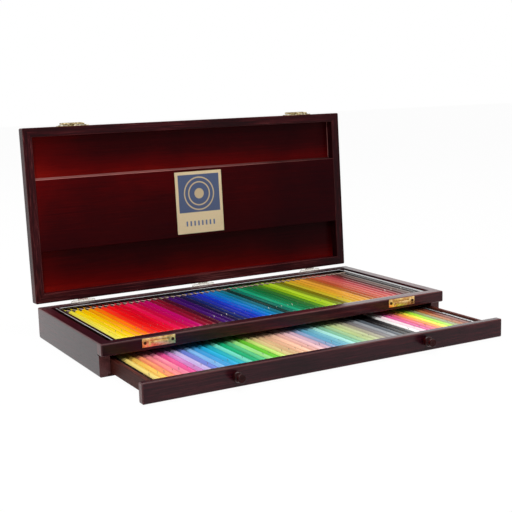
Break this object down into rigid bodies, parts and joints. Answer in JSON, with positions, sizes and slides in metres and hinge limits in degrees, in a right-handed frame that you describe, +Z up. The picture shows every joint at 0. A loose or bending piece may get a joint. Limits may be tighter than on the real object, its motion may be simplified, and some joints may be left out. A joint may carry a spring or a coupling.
{
  "type": "pencil drawer box",
  "caption": "Dark wooden box with a hinged lid over a tray of pencils and a drawer below with a second tray, two catches and two knobs.",
  "frame": {"origin": "middle of the underside of the case, on the surface that it stands on", "axes": "+X along the width to the right, +Y from the drawer front to the back, +Z up"},
  "size_m": [0.44, 0.3536, 0.2498],
  "materials": {
    "frame_wood": "very dark brown lacquer over fine lengthwise grain",
    "lid_lining_wood": "deep red-brown lacquered wood",
    "inner_wood": "dark stained wood, satin",
    "tray_plastic": "glossy moulded tray",
    "pencil_lacquer": "glossy coloured lacquer, one colour a pencil",
    "card": "printed card",
    "brass": "bright gold brass",
    "screw_metal": "darkened brass screw heads",
    "steel": "plain steel pin and screws",
    "knob_lacquer": "glossy dark red-brown turned wood"
  },
  "bodies": {
    "case": {"case_left_side": "frame_wood", "case_right_side": "frame_wood", "case_front_rail": "frame_wood", "case_back_panel": "frame_wood", "case_bottom_panel": "inner_wood", "tray_floor_panel": "inner_wood", "drawer_stop_batten": "inner_wood", "upper_tray": "tray_plastic", "strike_plates": "brass", "strike_plate_screws": "screw_metal", "hinge_case_leaves": "brass", "hinge_case_screws": "screw_metal", "hinge_pins": "steel", "upper_pencils_01": "pencil_lacquer", "upper_pencils_02": "pencil_lacquer", "upper_pencils_03": "pencil_lacquer", "upper_pencils_04": "pencil_lacquer", "upper_pencils_05": "pencil_lacquer", "upper_pencils_06": "pencil_lacquer", "upper_pencils_07": "pencil_lacquer", "upper_pencils_08": "pencil_lacquer", "upper_pencils_09": "pencil_lacquer", "upper_pencils_10": "pencil_lacquer"},
    "drawer": {"drawer_front_board": "frame_wood", "drawer_left_side": "inner_wood", "drawer_right_side": "inner_wood", "drawer_back_wall": "inner_wood", "drawer_bottom_panel": "inner_wood", "drawer_tray": "tray_plastic", "drawer_knobs": "knob_lacquer", "knob_screws": "steel", "drawer_pencils_01": "pencil_lacquer", "drawer_pencils_02": "pencil_lacquer", "drawer_pencils_03": "pencil_lacquer", "drawer_pencils_04": "pencil_lacquer", "drawer_pencils_05": "pencil_lacquer", "drawer_pencils_06": "pencil_lacquer", "drawer_pencils_07": "pencil_lacquer", "drawer_pencils_08": "pencil_lacquer", "drawer_pencils_09": "pencil_lacquer", "drawer_pencils_10": "pencil_lacquer"},
    "lid": {"lid_left_rail": "frame_wood", "lid_right_rail": "frame_wood", "lid_front_rail": "frame_wood", "lid_back_rail": "frame_wood", "lid_panel": "lid_lining_wood", "hold_down_board": "lid_lining_wood", "hold_down_battens": "lid_lining_wood", "lid_card": "card", "hinge_lid_leaves": "brass", "hinge_lid_screws": "screw_metal", "latch_plates": "brass", "latch_plate_screws": "screw_metal", "latch_pins": "brass"},
    "left_hasp": {"left_hasp": "brass"},
    "right_hasp": {"right_hasp": "brass"}
  },
  "joints": [
    {"name": "lid_hinge", "type": "hinge", "parent": "case", "child": "lid", "pos_m": [0, 0.10695, 0.036], "axis": [1, 0, 0], "range_deg": [0, 93.2]},
    {"name": "drawer_slide", "type": "slide", "parent": "case", "child": "drawer", "axis": [0, -1, 0], "range_m": [-0.1024, 0.0476]},
    {"name": "left_hasp_hinge", "type": "hinge", "parent": "lid", "child": "left_hasp", "pos_m": [-0.1568, 0.12113, 0.24844], "axis": [1, 0, 0], "range_deg": [0, 175]},
    {"name": "right_hasp_hinge", "type": "hinge", "parent": "lid", "child": "right_hasp", "pos_m": [0.1568, 0.12113, 0.24844], "axis": [1, 0, 0], "range_deg": [0, 175]}
  ]
}
